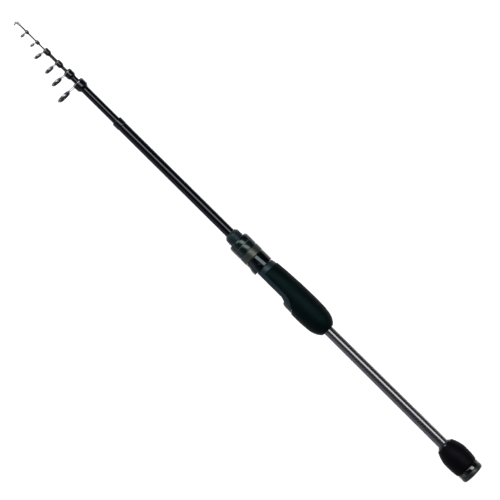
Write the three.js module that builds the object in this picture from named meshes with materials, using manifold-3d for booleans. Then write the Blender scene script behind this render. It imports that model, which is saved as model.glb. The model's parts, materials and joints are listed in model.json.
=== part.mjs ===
// A telescopic spinning rod, closed for travel. Millimetres, +Z up.
// The rod lies along X with its tip towards -X, and its line guides hang towards -Y.
// The origin is the centre of the flat face of the butt cap.
import * as THREE from 'three';
import { mergeVertices } from 'three/addons/utils/BufferGeometryUtils.js';
import Module from 'manifold-3d';

const wasm = await Module();
wasm.setup();

// Driving dimensions.
const SIDES = 20; // flats round the handle
const TUBE_SIDES = 16; // flats round the sliding sections and the guides
const RUNNING_GAP = 0.08; // radial clearance between pieces that slide or turn
const FIT_GAP = 0.05; // clearance between glued pieces that were cut to each other

// The butt blank: the outer tube that runs through the whole handle.
const BLANK_FRONT = -502;
const BLANK_REAR = -14;
const BLANK_RADIUS = 5.2;
const BLANK_SEAT_RADIUS = 4.75; // ground down where the reel seat is glued on
const BLANK_REAR_RADIUS = 5.35;
const BLANK_BORE_RADIUS = 4.43;
const MOUTH_LENGTH = 56; // the narrow front stretch of a tube, which stops the next section's tail

// Reel seat.
const SEAT_FRONT = -338.5;
const SEAT_REAR = -238;
const SEAT_BORE_RADIUS = 6.4;
const THREAD_CREST_RADIUS = 8.65;
const THREAD_ROOT_RADIUS = 8.05;
const THREAD_PITCH = 2;
const THREAD_TURNS = 8; // modelled turns, from the exposed front end
const THREAD_GAP = 0.15; // radial clearance of the nut and the hood over the thread's crests
const BARREL_REAR = -294.2;
const SEAT_BODY_RADIUS = 11.1;
const LAND_DEPTH = 9.3; // distance from the rod's axis down to the face the reel foot rests on
const LAND_REAR = -259.2;
const POCKET_HALF_WIDTH = 6.2;
const REAR_POCKET_RADIUS = 12.7; // roof of the fixed hood's pocket
const REAR_POCKET_REAR = -246.5;
const REAR_HOOD_RADIUS = 13.9;
const REAR_HOOD_EDGE = -241; // where the bulge runs into the front grip
const KEYWAY_FLOOR = 7.4; // distance from the rod's axis
const KEYWAY_HALF_WIDTH = 1.5;
const LINING_THICKNESS = 0.6;

// Lock nut and sliding hood.
const NUT_FRONT = -331.5;
const NUT_REAR = -307.9;
const NUT_RADIUS = 11.5;
const NUT_BAND_SEAT_RADIUS = 10.7; // the turned-down rear that carries the metal band
const TRIM_FRONT = -324.6;
const TRIM_REAR = -323.2;
const TRIM_SEAT_RADIUS = 11.1;
const NECK_RADIUS = 9.6; // the hood's neck, which turns inside the nut
const HOOD_FRONT = -307.6;
const HOOD_REAR = -294.5;
const HOOD_RADIUS = 11.25;
const CHIN_OFFSET = 1.1; // how far the round mouth under the hood is set down
const CHIN_WALL = 0.95;

// Grips and the woven sleeve between them.
const FRONT_GRIP_FRONT = -287.9;
const FRONT_GRIP_REAR = -204.2;
const SLEEVE_REAR = -43.2;
const REAR_GRIP_FRONT = -40.8;
const REAR_GRIP_REAR = -9.6;

// Butt cap.
const CAP_RADIUS = 12.35;
const CAP_LENGTH = 9.2;
const CAP_TRIM_RADIUS = 11.5; // the turned-down front that carries the gloss ring
const CAP_TRIM_REAR = -5.2;
const CAP_FLOOR = -2.6; // the cap's inner face
const SOCKET_RADIUS = 9.5;
const SOCKET_FRONT = -14.9;
const SOCKET_REAR = -3.4;
const SOCKET_MOUTH_RADIUS = 7.4;

// The sliding sections, from the thickest to the solid tip. Each one has a tube radius, a tail
// radius, the place of its front end and the radius of its own bore (0 when it is solid).
const SECTION_REAR = -16.4;
const TAIL_LENGTH = 55;
const SECTIONS = [
  { front: -557.6, radius: 4.1, tail: 4.3, bore: 3.45 },
  { front: -573, radius: 3.1, tail: 3.32, bore: 2.12 },
  { front: -604, radius: 1.65, tail: 1.98, bore: 1.15 },
  { front: -643, radius: 0.75, tail: 1.03, bore: 0 },
];

// Line guides, from the largest to the smallest. hoop is the middle of the steel hoop round the
// tube, ring the middle of the guide ring, drop the distance from the rod's axis to that middle.
// lip and back are the lengths of black sleeve before and behind the hoop.
const GUIDES = [
  { name: 'guide_1', hoop: -556, ring: -556.4, drop: 19.8, outer: 8.2, sleeve: 6.3, tube: 4.1,
    lip: 1.1, back: 8.4 },
  { name: 'guide_2', hoop: -571, ring: -572.1, drop: 14.4, outer: 6.6, sleeve: 4.65, tube: 3.1,
    lip: 1.1, back: 6.9 },
  { name: 'guide_3', hoop: -585.4, ring: -586, drop: 11, outer: 5.6, sleeve: 3.1, tube: 1.65,
    lip: 1, back: 6 },
  { name: 'guide_4', hoop: -602.5, ring: -603.9, drop: 9.2, outer: 4.6, sleeve: 3.1, tube: 1.65,
    lip: 0.9, back: 5.9 },
  { name: 'guide_5', hoop: -614.9, ring: -615.8, drop: 5.4, outer: 2.6, sleeve: 1.85, tube: 0.75,
    lip: 0.7, back: 3 },
  { name: 'guide_6', hoop: -629.3, ring: -629.5, drop: 5.4, outer: 2.6, sleeve: 1.75, tube: 0.75,
    lip: 1, back: 2.2 },
];
const HOOP_HALF_WIDTH = 0.4;
const HOLDER_INNER = 0.88; // the ring holder's inner radius, as a share of its outer radius
const RING_INNER = 0.73; // the guide ring's inner radius, as the same share
const LEG_SIDE = 0.72; // how far a leg stands to the side, as the same share
const TIP_TUBE_FRONT = -643.4;
const TIP_TUBE_REAR = -638.6;
const TIP_TUBE_RADIUS = 1.15;
const TIP_RING_DROP = 2.4;
const TIP_RING_RADIUS = 2.2;
const TIP_HOLDER_INNER = 1.8;
const TIP_RING_LEAN = 0.35; // radians

const BLACK = { color: 0x0b0c0f, roughness: 0.25, metalness: 0 };
const NAVY = { color: 0x1a1c26, roughness: 0.45, metalness: 0 };
const WEAVE = { color: 0x2c2a33, roughness: 0.3, metalness: 0.1 };
const FOAM = { color: 0x15191a, roughness: 0.95, metalness: 0 };
const RUBBER = { color: 0x16161a, roughness: 0.8, metalness: 0 };
const SEAT = { color: 0x232d36, roughness: 0.5, metalness: 0.1 };
const GUNMETAL = { color: 0x5c6058, roughness: 0.35, metalness: 0.8 };
const STEEL = { color: 0xc4c6ca, roughness: 0.2, metalness: 1 };
const CERAMIC = { color: 0x262024, roughness: 0.12, metalness: 0.1 };
const RESIN = { color: 0x7a6a4c, roughness: 0.7, metalness: 0 };

const rod = new THREE.Group();

function addPiece(name, geometry, look) {
  const mesh = new THREE.Mesh(geometry, new THREE.MeshStandardMaterial(look));
  mesh.name = name;
  rod.add(mesh);
}

// A body of revolution about X from [x, radius] points. A ring's points run from its inner
// front edge outwards, along the outside to the rear, and back inside.
function turned(points, sides = SIDES) {
  const profile = points.map(([x, radius]) => new THREE.Vector2(radius, x));
  if (profile[0].x > 0) {
    profile.push(profile[0].clone());
  }
  const geometry = new THREE.LatheGeometry(profile, sides);
  geometry.rotateZ(-Math.PI / 2);
  return geometry;
}

function sleeve(front, rear, inner, outer, sides = SIDES) {
  return turned([[front, inner], [front, outer], [rear, outer], [rear, inner]], sides);
}

function solidRod(front, rear, radius, sides = SIDES) {
  return turned([[front, 0], [front, radius], [rear, radius], [rear, 0]], sides);
}

function box(xRange, yRange, zRange) {
  const [[x0, x1], [y0, y1], [z0, z1]] = [xRange, yRange, zRange];
  const geometry = new THREE.BoxGeometry(x1 - x0, y1 - y0, z1 - z0);
  geometry.translate((x0 + x1) / 2, (y0 + y1) / 2, (z0 + z1) / 2);
  return geometry;
}

// A side outline in X and Y, pushed through the rod from -halfWidth to +halfWidth in Z.
function sideCut(outline, halfWidth) {
  const shape = new THREE.Shape(outline.map(([x, y]) => new THREE.Vector2(x, y)));
  const geometry = new THREE.ExtrudeGeometry(shape, { depth: 2 * halfWidth, bevelEnabled: false });
  geometry.translate(0, 0, -halfWidth);
  return geometry;
}

function bar(start, end, radius, sides = 6) {
  const from = new THREE.Vector3(...start);
  const along = new THREE.Vector3(...end).sub(from);
  const geometry = new THREE.CylinderGeometry(radius, radius, along.length(), sides);
  geometry.translate(0, along.length() / 2, 0);
  const up = new THREE.Vector3(0, 1, 0);
  geometry.applyQuaternion(new THREE.Quaternion().setFromUnitVectors(up, along.normalize()));
  return geometry.translate(from.x, from.y, from.z);
}

// Joins and cuts.
function toSolid(geometry) {
  const bare = geometry.clone();
  bare.deleteAttribute('normal');
  bare.deleteAttribute('uv');
  const merged = mergeVertices(bare, 1e-4);
  const corners = [];
  for (let i = 0; i < merged.index.count; i += 3) {
    const [a, b, c] = [0, 1, 2].map((k) => merged.index.getX(i + k));
    if (a !== b && b !== c && c !== a) {
      corners.push(a, b, c);
    }
  }
  return new wasm.Manifold(new wasm.Mesh({
    numProp: 3,
    vertProperties: new Float32Array(merged.attributes.position.array),
    triVerts: new Uint32Array(corners),
  }));
}

function toGeometry(solid) {
  const mesh = solid.getMesh();
  const geometry = new THREE.BufferGeometry();
  geometry.setAttribute('position', new THREE.BufferAttribute(mesh.vertProperties, 3));
  geometry.setIndex(new THREE.BufferAttribute(mesh.triVerts, 1));
  return geometry;
}

function joined(...geometries) {
  return toGeometry(geometries.map(toSolid).reduce((whole, next) => whole.add(next)));
}

function cut(geometry, ...tools) {
  return toGeometry(tools.map(toSolid).reduce((whole, next) => whole.subtract(next), toSolid(geometry)));
}

function common(first, second) {
  return toGeometry(toSolid(first).intersect(toSolid(second)));
}

// A tube whose narrow mouth opens into a wider bore, so that the next section's tail jams in it.
function blankTube(outside, front, rear, mouth, bore, sides) {
  const mouthRear = front + MOUTH_LENGTH;
  const inside = [[rear, bore], [mouthRear + 6, bore], [mouthRear, mouth]];
  return turned([[front, mouth], ...outside, ...inside], sides);
}

function addButtBlank() {
  const outside = [
    [BLANK_FRONT, BLANK_RADIUS],
    [SEAT_FRONT + 1, BLANK_RADIUS],
    [SEAT_FRONT + 1, BLANK_SEAT_RADIUS],
    [FRONT_GRIP_REAR, BLANK_SEAT_RADIUS],
    [SLEEVE_REAR, BLANK_REAR_RADIUS],
    [BLANK_REAR, BLANK_REAR_RADIUS],
  ];
  const mouth = SECTIONS[0].radius + RUNNING_GAP;
  const blank = blankTube(outside, BLANK_FRONT, BLANK_REAR, mouth, BLANK_BORE_RADIUS, SIDES);
  addPiece('butt_blank', blank, BLACK);
  const wrap = [
    [BLANK_FRONT, BLANK_RADIUS],
    [BLANK_FRONT, BLANK_RADIUS + 0.25],
    [BLANK_FRONT + 0.4, BLANK_RADIUS + 0.4],
    [BLANK_FRONT + 6.6, BLANK_RADIUS + 0.4],
    [BLANK_FRONT + 8, BLANK_RADIUS + 0.1],
    [BLANK_FRONT + 8, BLANK_RADIUS],
  ];
  addPiece('butt_ferrule_wrap', turned(wrap), NAVY);
}

// The seat's barrel and body as one solid of revolution, before the land and the pockets.
function seatRound(gap) {
  const points = [[SEAT_FRONT, 0], [SEAT_FRONT, THREAD_ROOT_RADIUS]];
  for (let turn = 0; turn < THREAD_TURNS; turn += 1) {
    const x = SEAT_FRONT + 0.6 + turn * THREAD_PITCH;
    points.push([x, THREAD_ROOT_RADIUS], [x + THREAD_PITCH / 2, THREAD_CREST_RADIUS]);
  }
  points.push(
    [SEAT_FRONT + 0.6 + THREAD_TURNS * THREAD_PITCH, THREAD_ROOT_RADIUS],
    [BARREL_REAR, THREAD_ROOT_RADIUS],
    [BARREL_REAR, 10.2],
    [BARREL_REAR + 0.8, 10.5],
    [FRONT_GRIP_FRONT - 0.8, 11.5],
    [FRONT_GRIP_FRONT - 0.3, SEAT_BODY_RADIUS + gap],
    [SEAT_REAR + gap, SEAT_BODY_RADIUS + gap],
    [SEAT_REAR + gap, 0],
  );
  return turned(points);
}

// The fixed hood's bulge under the rear of the seat. It grows out of the seat's body as a cone.
function rearHood(gap) {
  const depth = REAR_HOOD_RADIUS + gap;
  const cone = turned([
    [LAND_REAR - 8, 0],
    [LAND_REAR - 8, SEAT_BODY_RADIUS - 0.3 + gap],
    [LAND_REAR, SEAT_BODY_RADIUS + 0.1 + gap],
    [LAND_REAR + 10, depth],
    [SEAT_REAR, depth],
    [SEAT_REAR, 0],
  ]);
  const outline = [
    [LAND_REAR - gap, -LAND_DEPTH],
    [LAND_REAR + 8 - gap, -depth - 2],
    [REAR_HOOD_EDGE + gap, -depth - 2],
    [REAR_HOOD_EDGE + gap, -13.8],
    [-244.8 + gap, -11.2],
    [-251.5 + gap, -6.7],
    [-259 + gap, -4.6],
    [-261.5, -4.6],
    [-261.5, -LAND_DEPTH + 0.4],
  ];
  return common(cone, sideCut(outline, 14));
}

function landCut() {
  return box([BARREL_REAR - 1, LAND_REAR], [-20, -LAND_DEPTH], [-15, 15]);
}

// The part of a ring that lines a hood, below the given distance from the rod's axis.
function liningWidth(depth, halfWidth) {
  return box([HOOD_FRONT - 10, SEAT_REAR], [-20, -depth], [-halfWidth, halfWidth]);
}

function addReelSeat() {
  const pocketWidth = [-POCKET_HALF_WIDTH, POCKET_HALF_WIDTH];
  const pocketBox = box([LAND_REAR - 1, REAR_POCKET_REAR], [-20, -LAND_DEPTH + 0.2], pocketWidth);
  const pocket = common(pocketBox, solidRod(LAND_REAR - 10, SEAT_REAR, REAR_POCKET_RADIUS));
  const bore = solidRod(SEAT_FRONT - 1, SEAT_REAR + 1, SEAT_BORE_RADIUS);
  const keywayWidth = [-KEYWAY_HALF_WIDTH, KEYWAY_HALF_WIDTH];
  const keyway = box([SEAT_FRONT - 1, BARREL_REAR], [KEYWAY_FLOOR, 10], keywayWidth);
  const body = joined(cut(seatRound(0), landCut()), rearHood(0));
  addPiece('seat_body', cut(body, pocket, bore, keyway), SEAT);

  const padOuter = REAR_POCKET_RADIUS - FIT_GAP;
  const pad = sleeve(LAND_REAR + 5, REAR_POCKET_REAR - 0.3, padOuter - LINING_THICKNESS, padOuter);
  addPiece('rear_hood_lining', common(pad, liningWidth(LAND_DEPTH + 0.5, 5.9)), RUBBER);

  addPiece('seat_arbor', sleeve(SEAT_FRONT + 1.2, SEAT_REAR, BLANK_SEAT_RADIUS, SEAT_BORE_RADIUS), RESIN);

  const check = [
    [SEAT_FRONT - 3.4, BLANK_RADIUS],
    [SEAT_FRONT - 3.4, 5.5],
    [SEAT_FRONT - 0.6, THREAD_ROOT_RADIUS],
    [SEAT_FRONT, THREAD_ROOT_RADIUS + 0.2],
    [SEAT_FRONT, BLANK_RADIUS],
  ];
  addPiece('seat_front_check', turned(check), SEAT);
}

function addFrontGrip() {
  const outside = [
    [FRONT_GRIP_FRONT, 0],
    [FRONT_GRIP_FRONT, 12.1],
    [FRONT_GRIP_FRONT + 0.7, 12.4],
    [-275, 13.4],
    [-262, 14.1],
    [-248, 14.6],
    [-233, 14.8],
    [-222, 14.3],
    [-215, 13.4],
    [-210, 11.6],
    [-206.5, 9.3],
    [FRONT_GRIP_REAR, 7.6],
    [FRONT_GRIP_REAR, 0],
  ];
  // The side outline of the opening that shows the seat's underside.
  const window = [
    [FRONT_GRIP_FRONT - 2, -20],
    [FRONT_GRIP_FRONT - 2, -4.5],
    [-259.5, -4.6],
    [-251.8, -6.7],
    [-245, -11.2],
    [REAR_HOOD_EDGE + 0.4, -15],
    [REAR_HOOD_EDGE + 0.4, -20],
  ];
  const blankHole = solidRod(SEAT_REAR - 2, FRONT_GRIP_REAR + 4, BLANK_SEAT_RADIUS + FIT_GAP);
  const grip = cut(turned(outside), sideCut(window, 20), seatRound(FIT_GAP), rearHood(0.3), blankHole);
  addPiece('front_grip', grip, FOAM);
}

function addLockNut() {
  const bore = THREAD_CREST_RADIUS + THREAD_GAP;
  const neckBore = NECK_RADIUS + THREAD_GAP;
  const bandSeatFront = NUT_FRONT + 14.9;
  const bandFront = bandSeatFront + 0.6;
  const shell = [
    [NUT_FRONT, bore],
    [NUT_FRONT, NUT_RADIUS - 1],
    [NUT_FRONT + 2.4, NUT_RADIUS],
    [TRIM_FRONT, NUT_RADIUS],
    [TRIM_FRONT, TRIM_SEAT_RADIUS],
    [TRIM_REAR, TRIM_SEAT_RADIUS],
    [TRIM_REAR, NUT_RADIUS],
    [bandSeatFront, NUT_RADIUS],
    [bandSeatFront, NUT_BAND_SEAT_RADIUS],
    [NUT_REAR, NUT_BAND_SEAT_RADIUS],
    [NUT_REAR, neckBore],
    [NUT_REAR - 5.5, neckBore],
    [NUT_REAR - 5.5, bore],
  ];
  addPiece('lock_nut', turned(shell), SEAT);
  addPiece('nut_trim_ring', sleeve(TRIM_FRONT, TRIM_REAR, TRIM_SEAT_RADIUS, NUT_RADIUS + 0.05), STEEL);
  const band = [
    [bandFront, NUT_BAND_SEAT_RADIUS],
    [bandFront, NUT_RADIUS - 0.2],
    [bandFront + 0.3, NUT_RADIUS],
    [NUT_REAR - 0.3, NUT_RADIUS],
    [NUT_REAR, NUT_RADIUS - 0.3],
    [NUT_REAR, NUT_BAND_SEAT_RADIUS],
  ];
  addPiece('nut_grip_band', turned(band), GUNMETAL);
}

// The sliding hood: a collar with a neck inside the nut and a mouth for the reel foot.
function addSlidingHood() {
  const bore = THREAD_CREST_RADIUS + THREAD_GAP;
  const shell = [
    [HOOD_FRONT - 4.8, 0],
    [HOOD_FRONT - 4.8, NECK_RADIUS],
    [HOOD_FRONT, NECK_RADIUS],
    [HOOD_FRONT, HOOD_RADIUS - 0.5],
    [HOOD_FRONT + 0.5, HOOD_RADIUS],
    [HOOD_REAR - 0.4, HOOD_RADIUS],
    [HOOD_REAR, HOOD_RADIUS - 0.4],
    [HOOD_REAR, 0],
  ];
  const chin = turned([
    [HOOD_FRONT + 3, 0],
    [HOOD_FRONT + 3, 9.5],
    [HOOD_FRONT + 8, HOOD_RADIUS],
    [HOOD_REAR, HOOD_RADIUS],
    [HOOD_REAR, 0],
  ]);
  chin.translate(0, -CHIN_OFFSET, 0);
  const hole = solidRod(HOOD_FRONT - 6, HOOD_REAR + 1, bore);
  const roofRadius = HOOD_RADIUS - CHIN_WALL;
  const roof = turned([
    [HOOD_FRONT + 4.2, 0],
    [HOOD_FRONT + 4.2, 9.1],
    [HOOD_FRONT + 8, roofRadius],
    [HOOD_REAR + 1, roofRadius],
    [HOOD_REAR + 1, 0],
  ]);
  roof.translate(0, -CHIN_OFFSET, 0);
  const mouthWidth = [-POCKET_HALF_WIDTH, POCKET_HALF_WIDTH];
  const mouth = common(roof, box([HOOD_FRONT, HOOD_REAR + 1], [-20, -6], mouthWidth));
  const keyHalfWidth = KEYWAY_HALF_WIDTH - 0.2;
  const key = box([HOOD_FRONT, HOOD_REAR], [KEYWAY_FLOOR + 0.25, 10], [-keyHalfWidth, keyHalfWidth]);
  addPiece('sliding_hood', joined(cut(joined(turned(shell), chin), hole, mouth), key), BLACK);

  const padOuter = roofRadius - FIT_GAP;
  const pad = sleeve(HOOD_FRONT + 8.2, HOOD_REAR - 0.4, padOuter - LINING_THICKNESS, padOuter);
  pad.translate(0, -CHIN_OFFSET, 0);
  addPiece('sliding_hood_lining', common(pad, liningWidth(LAND_DEPTH + 0.3, 5.3)), RUBBER);
}

function addRearHandle() {
  const woven = [
    [FRONT_GRIP_REAR, BLANK_SEAT_RADIUS + FIT_GAP],
    [FRONT_GRIP_REAR, 5.3],
    [SLEEVE_REAR, 5.8],
    [SLEEVE_REAR, BLANK_REAR_RADIUS + FIT_GAP],
  ];
  addPiece('woven_sleeve', turned(woven), WEAVE);
  const check = [
    [SLEEVE_REAR, BLANK_REAR_RADIUS],
    [SLEEVE_REAR, 6.3],
    [REAR_GRIP_FRONT - 1.4, 7.8],
    [REAR_GRIP_FRONT, 8.1],
    [REAR_GRIP_FRONT, BLANK_REAR_RADIUS],
  ];
  addPiece('rear_grip_check', turned(check), GUNMETAL);
  const grip = [
    [REAR_GRIP_FRONT, BLANK_REAR_RADIUS],
    [REAR_GRIP_FRONT, 9.3],
    [-37, 11.2],
    [-33, 12.6],
    [-28, 13.8],
    [-18, 13.8],
    [-12, 13.1],
    [REAR_GRIP_REAR, 12.2],
    [REAR_GRIP_REAR, SOCKET_RADIUS + 0.1],
    [SOCKET_FRONT - 0.1, SOCKET_RADIUS + 0.1],
    [SOCKET_FRONT - 0.1, BLANK_REAR_RADIUS],
  ];
  addPiece('rear_grip', turned(grip), FOAM);
  const socket = [
    [SOCKET_FRONT, BLANK_REAR_RADIUS],
    [SOCKET_FRONT, SOCKET_RADIUS],
    [SOCKET_REAR, SOCKET_RADIUS],
    [SOCKET_REAR, SOCKET_MOUTH_RADIUS],
    [BLANK_REAR + 0.3, SOCKET_MOUTH_RADIUS],
    [BLANK_REAR + 0.3, BLANK_REAR_RADIUS],
  ];
  addPiece('cap_socket', turned(socket), GUNMETAL);
}

function addButtCap() {
  const shell = [
    [CAP_FLOOR, 0],
    [CAP_FLOOR, SOCKET_RADIUS + THREAD_GAP],
    [-CAP_LENGTH, SOCKET_RADIUS + THREAD_GAP],
    [-CAP_LENGTH, CAP_TRIM_RADIUS],
    [CAP_TRIM_REAR, CAP_TRIM_RADIUS],
    [CAP_TRIM_REAR + 0.6, CAP_RADIUS],
    [-2, CAP_RADIUS],
    [-0.7, CAP_RADIUS - 0.7],
    [0, CAP_RADIUS - 2],
    [0, 0],
  ];
  addPiece('butt_cap', turned(shell), GUNMETAL);
  const trim = [
    [-CAP_LENGTH, CAP_TRIM_RADIUS],
    [-CAP_LENGTH, CAP_RADIUS - 0.2],
    [-CAP_LENGTH + 0.4, CAP_RADIUS],
    [CAP_TRIM_REAR - 0.3, CAP_RADIUS],
    [CAP_TRIM_REAR, CAP_RADIUS - 0.2],
    [CAP_TRIM_REAR, CAP_TRIM_RADIUS],
  ];
  addPiece('cap_trim_ring', turned(trim), BLACK);
  const pad = [
    [-16, 0],
    [-16, 3.6],
    [-15.6, 4],
    [-13.4, 4],
    [-12.8, 2.2],
    [-4.1, 2.2],
    [-4.1, 6.8],
    [CAP_FLOOR - 0.3, 6.8],
    [CAP_FLOOR - 0.3, 0],
  ];
  addPiece('cap_bumper', turned(pad), RUBBER);
}

function addSection(index) {
  const { front, radius, tail, bore } = SECTIONS[index];
  const tailFront = SECTION_REAR - TAIL_LENGTH;
  const outside = [[front, radius], [tailFront, radius], [tailFront + 20, tail], [SECTION_REAR, tail]];
  const name = `section_${index + 1}`;
  if (bore > 0) {
    const mouth = SECTIONS[index + 1].radius + RUNNING_GAP;
    addPiece(name, blankTube(outside, front, SECTION_REAR, mouth, bore, TUBE_SIDES), BLACK);
  } else {
    addPiece(name, turned([[front, 0], ...outside, [SECTION_REAR, 0]], TUBE_SIDES), BLACK);
  }
}

// The black sleeve round a tube, with a slot for the guide's steel hoop.
function guideSleeve({ hoop, sleeve: outer, tube, lip, back }, bore) {
  const slotFront = hoop - HOOP_HALF_WIDTH - 0.05;
  const slotRear = hoop + HOOP_HALF_WIDTH + 0.05;
  const slotRadius = tube + (outer - tube) * 0.45;
  return turned([
    [slotFront - lip, bore],
    [slotFront - lip, outer - 0.3],
    [slotFront, outer - 0.1],
    [slotFront, slotRadius],
    [slotRear, slotRadius],
    [slotRear, outer],
    [slotRear + back * 0.7, outer],
    [slotRear + back, tube + 0.35],
    [slotRear + back, bore],
  ], TUBE_SIDES);
}

// The turn about Z that sets a guide ring in line with its hoop.
function guideLean(hoop, ring, drop) {
  return Math.atan2(ring - hoop, drop);
}

// The steel frame: a hoop round the sleeve, two legs and the holder round the guide ring.
function guideFrame({ hoop, ring, drop, outer, sleeve: sleeveRadius, tube }) {
  const slotRadius = tube + (sleeveRadius - tube) * 0.45 + 0.03;
  const hoopOuter = sleeveRadius + 0.2;
  const wire = 0.25 + outer * 0.03;
  const holderHalf = 0.32 + outer * 0.06;
  const holderShift = -outer * 0.04; // the ring stands out more on the butt side
  const loop = sleeve(hoop - HOOP_HALF_WIDTH, hoop + HOOP_HALF_WIDTH, slotRadius, hoopOuter, TUBE_SIDES);
  const holderEnds = [holderShift - holderHalf, holderShift + holderHalf];
  const holder = sleeve(...holderEnds, outer * HOLDER_INNER, outer, TUBE_SIDES);
  const lean = guideLean(hoop, ring, drop);
  holder.rotateZ(lean);
  holder.translate(ring, -drop, 0);
  const top = slotRadius * 0.4 + hoopOuter * 0.6;
  const legTop = Math.min(top * 0.92, outer * LEG_SIDE);
  const legRise = Math.sqrt(top * top - legTop * legTop);
  const footRadius = outer * 0.94;
  const footSide = outer * LEG_SIDE;
  const footRise = Math.sqrt(footRadius * footRadius - footSide * footSide);
  const footX = ring + holderShift * Math.cos(lean) - footRise * Math.sin(lean);
  const footY = -drop + holderShift * Math.sin(lean) + footRise * Math.cos(lean);
  const legs = [-1, 1].map((side) => bar(
    [hoop, -legRise, side * legTop],
    [footX, footY, side * footSide],
    wire,
  ));
  return joined(loop, holder, ...legs);
}

// The hard ring pressed into the holder, with rounded lips.
function guideRing({ hoop, ring, drop, outer }) {
  const seat = outer * HOLDER_INNER * Math.cos(Math.PI / TUBE_SIDES) - 0.02;
  const inner = outer * RING_INNER;
  const half = 0.65 + outer * 0.13;
  const middle = (seat + inner) / 2;
  const geometry = turned([
    [-half * 0.5, inner],
    [-half, middle - 0.1],
    [-half * 0.8, seat],
    [half * 0.8, seat],
    [half, middle - 0.1],
    [half * 0.5, inner],
  ], TUBE_SIDES);
  geometry.rotateZ(guideLean(hoop, ring, drop));
  return geometry.translate(ring, -drop, 0);
}

function addGuide(guide, floats) {
  const bore = floats ? guide.tube + RUNNING_GAP : guide.tube;
  addPiece(`${guide.name}_sleeve`, guideSleeve(guide, bore), NAVY);
  addPiece(`${guide.name}_frame`, guideFrame(guide), STEEL);
  addPiece(`${guide.name}_ring`, guideRing(guide), CERAMIC);
}

function addTipTop() {
  const tip = SECTIONS[3];
  const tube = [
    [TIP_TUBE_FRONT, 0],
    [TIP_TUBE_FRONT, 0.9],
    [TIP_TUBE_FRONT + 0.3, TIP_TUBE_RADIUS],
    [TIP_TUBE_REAR, TIP_TUBE_RADIUS],
    [TIP_TUBE_REAR, tip.radius],
    [tip.front, tip.radius],
    [tip.front, 0],
  ];
  const ringX = TIP_TUBE_FRONT - 0.2;
  const holder = sleeve(-0.45, 0.45, TIP_HOLDER_INNER, TIP_RING_RADIUS, TUBE_SIDES);
  holder.rotateZ(TIP_RING_LEAN);
  holder.translate(ringX, -TIP_RING_DROP, 0);
  const braces = [-1, 1].map((side) => bar(
    [TIP_TUBE_REAR - 1.2, -TIP_TUBE_RADIUS * 0.5, side * TIP_TUBE_RADIUS * 0.84],
    [ringX + 0.2, -TIP_RING_DROP + 0.5, side * TIP_RING_RADIUS * 0.91],
    0.32,
  ));
  addPiece('tip_top_frame', joined(turned(tube, TUBE_SIDES), holder, ...braces), STEEL);
  const seat = TIP_HOLDER_INNER * Math.cos(Math.PI / TUBE_SIDES) - 0.02;
  const ring = sleeve(-0.6, 0.6, 1.2, seat, TUBE_SIDES);
  ring.rotateZ(TIP_RING_LEAN);
  addPiece('tip_top_ring', ring.translate(ringX, -TIP_RING_DROP, 0), CERAMIC);
}

addButtBlank();
addReelSeat();
addFrontGrip();
addRearHandle();
addLockNut();
addSlidingHood();
addButtCap();
SECTIONS.forEach((_, index) => addSection(index));
GUIDES.forEach((guide) => addGuide(guide, ['guide_3', 'guide_5', 'guide_6'].includes(guide.name)));
addTipTop();

export default rod;
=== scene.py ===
"""The looks of a telescopic spinning rod, closed for travel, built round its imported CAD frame."""

import json
import math

import bmesh
import bpy
from mathutils import Matrix, Quaternion, Vector


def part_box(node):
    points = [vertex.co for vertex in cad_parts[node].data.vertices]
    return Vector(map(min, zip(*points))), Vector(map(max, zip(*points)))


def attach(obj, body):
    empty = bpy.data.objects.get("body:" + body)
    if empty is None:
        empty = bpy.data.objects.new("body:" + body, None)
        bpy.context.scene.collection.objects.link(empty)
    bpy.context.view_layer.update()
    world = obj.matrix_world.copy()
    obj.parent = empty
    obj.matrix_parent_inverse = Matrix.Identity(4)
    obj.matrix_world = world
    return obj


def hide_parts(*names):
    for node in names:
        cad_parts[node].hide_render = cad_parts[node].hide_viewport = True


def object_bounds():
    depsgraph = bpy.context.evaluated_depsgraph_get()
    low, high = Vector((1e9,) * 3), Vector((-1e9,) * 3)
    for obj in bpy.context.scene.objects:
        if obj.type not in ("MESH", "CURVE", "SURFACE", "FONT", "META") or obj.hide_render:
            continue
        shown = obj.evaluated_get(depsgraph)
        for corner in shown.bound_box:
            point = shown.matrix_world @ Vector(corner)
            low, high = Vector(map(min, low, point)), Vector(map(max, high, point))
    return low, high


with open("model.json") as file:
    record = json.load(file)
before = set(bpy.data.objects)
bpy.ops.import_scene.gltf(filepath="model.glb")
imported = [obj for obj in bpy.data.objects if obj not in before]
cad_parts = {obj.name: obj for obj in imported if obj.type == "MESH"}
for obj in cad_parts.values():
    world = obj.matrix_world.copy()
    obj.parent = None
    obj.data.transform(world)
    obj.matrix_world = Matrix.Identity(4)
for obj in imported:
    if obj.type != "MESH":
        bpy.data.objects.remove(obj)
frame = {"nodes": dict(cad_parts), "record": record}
cad_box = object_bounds()
MOUNTS = {mount["name"]: mount["pos_m"] for mount in frame["record"]["mounts"]}

MM = 0.001
ROUND = 96  # segments round the handle
FINE = 64  # segments round the sections and the guides
SHARP_ANGLE = math.radians(38)  # edges sharper than this stay crisp in the shading
CLEARANCE = 0.04 * MM  # between a piece and what it is glued on

MOUTH_LENGTH = 56 * MM  # the narrow front of a tube's bore, which stops the next section's tail
MOUTH_RAMP = 6 * MM  # how far the bore takes to widen behind that mouth
TAIL_LENGTH = 55 * MM  # a section's tail, with the ramp it starts with
TAIL_RAMP = 20 * MM
SEAM_GAP = 0.03 * MM  # on each side of the line between the front grip and the seat
HOOD_OPENING_HALF = 6.2 * MM  # half the width of the hollows that hold the reel's foot
HOLDER_INNER_SHARE = 0.88  # the inside of a guide ring's holder, as a share of its outer radius
RANGE_KEYS = ("From Min", "From Max", "To Min", "To Max")


# ---- frame places

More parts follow.
